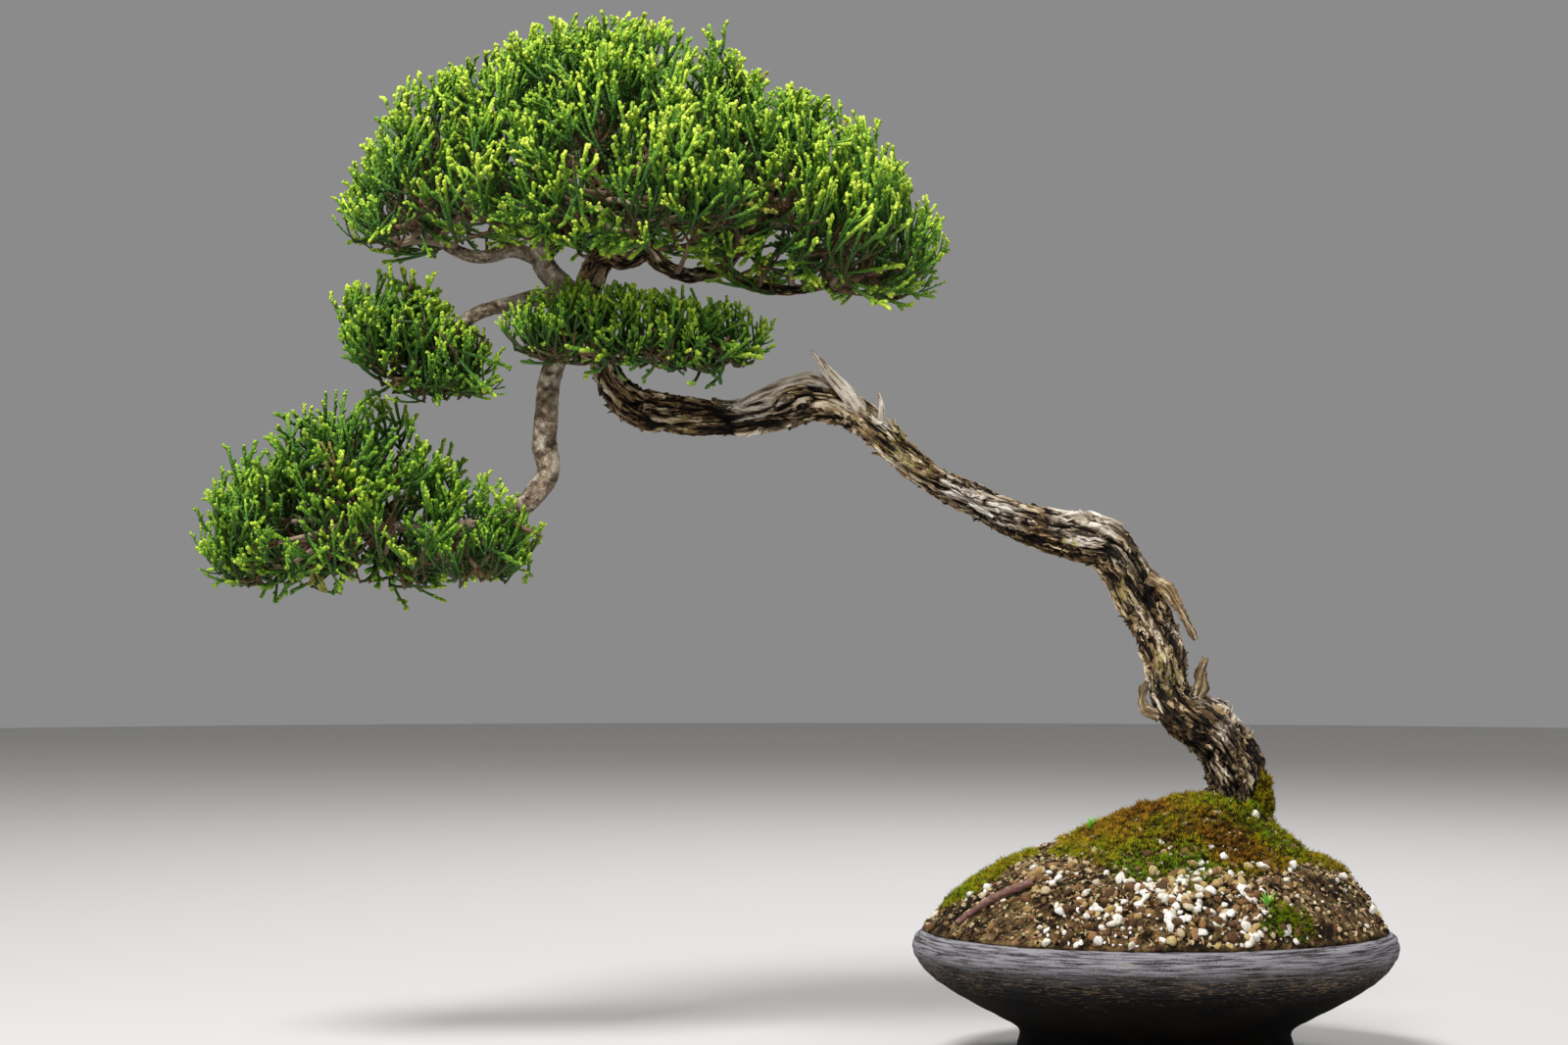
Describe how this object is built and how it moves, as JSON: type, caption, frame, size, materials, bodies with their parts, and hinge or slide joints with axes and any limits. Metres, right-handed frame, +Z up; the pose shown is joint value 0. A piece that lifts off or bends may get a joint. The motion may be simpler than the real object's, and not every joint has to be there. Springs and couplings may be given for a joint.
{
  "type": "bonsai tree in a pot",
  "caption": "Wind-swept juniper bonsai: a bent, leaning trunk carries domed pads of foliage out past the side of a low round stoneware pot heaped with mossy soil.",
  "frame": {"origin": "middle of the overall box in plan, on the plane that the pot's foot stands on", "axes": "+Z up; -Y is the front of the tree; +X is the side where the pot stands, and the trunk leans and reaches towards -X"},
  "size_m": [0.494, 0.2, 0.433],
  "materials": {
    "stoneware": "matt, dark grey-brown, with fine turning lines",
    "soil": "loose grains, matt",
    "moss": "soft, matt",
    "pumice": "porous, matt",
    "akadama": "fired clay grain, matt",
    "bark": "flaking, fissured, matt",
    "smooth_bark": "pale, ringed, satin",
    "deadwood": "silvery, dry, matt",
    "foliage": "scale leaves, satin",
    "seedling": "thin leaves, satin",
    "twig": "dry, matt",
    "mesh_plastic": "moulded, satin",
    "clip_wire": "anodised, satin"
  },
  "bodies": {
    "root": {"akadama_1": "akadama", "akadama_2": "akadama", "akadama_3": "akadama", "bark_peel_high": "deadwood", "bark_peel_left": "deadwood", "bark_peel_low": "deadwood", "crown_limb_back": "bark", "crown_limb_front": "bark", "crown_limb_left": "smooth_bark", "crown_limb_right": "bark", "crown_limb_top": "bark", "drain_mesh": "mesh_plastic", "drop_branch": "smooth_bark", "fallen_twig": "twig", "fork_left": "smooth_bark", "fork_right": "bark", "front_branch": "bark", "jin_spike": "deadwood", "jin_stub": "deadwood", "left_branch": "smooth_bark", "mesh_clip": "clip_wire", "moss_back": "moss", "moss_crest": "moss", "moss_front": "moss", "moss_left": "moss", "moss_right": "moss", "pad_crown_back": "foliage", "pad_crown_far_left": "foliage", "pad_crown_far_right": "foliage", "pad_crown_front": "foliage", "pad_crown_left": "foliage", "pad_crown_right": "foliage", "pad_crown_top": "foliage", "pad_left_high": "foliage", "pad_left_low": "foliage", "pad_low_inner": "foliage", "pad_low_outer": "foliage", "pad_low_top": "foliage", "pad_middle_left": "foliage", "pad_middle_right": "foliage", "pot": "stoneware", "pumice_1": "pumice", "pumice_2": "pumice", "pumice_3": "pumice", "pumice_4": "pumice", "pumice_5": "pumice", "pumice_6": "pumice", "seedling_front": "seedling", "seedling_left": "seedling", "shari_strand": "deadwood", "soil": "soil", "trunk": "bark", "trunk_moss": "moss"}
  },
  "joints": []
}
